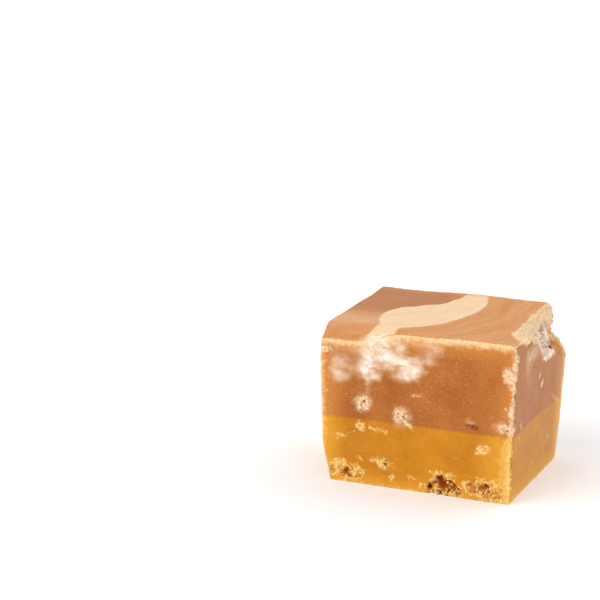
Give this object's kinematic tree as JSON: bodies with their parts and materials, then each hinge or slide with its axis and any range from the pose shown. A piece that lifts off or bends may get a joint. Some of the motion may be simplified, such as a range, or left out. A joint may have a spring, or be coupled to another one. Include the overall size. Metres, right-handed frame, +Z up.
{
  "type": "piece of layered fudge",
  "caption": "Hand-cut block of fudge: an amber vanilla layer under a brown toffee layer with a cream swirl on top, with crumbled edges and hollows.",
  "frame": {"origin": "middle of the base of the bounding box, on the surface that the piece stands on", "axes": "+X to the right along the long side, -Y towards the front, +Z up"},
  "size_m": [0.0312, 0.0264, 0.0257],
  "materials": {
    "vanilla_fudge": "satin, slightly translucent, crumbly where broken",
    "toffee_fudge": "satin, slightly translucent, crumbly where broken, with a cream swirl"
  },
  "bodies": {
    "root": {"vanilla_layer": "vanilla_fudge", "toffee_layer": "toffee_fudge"}
  },
  "joints": []
}
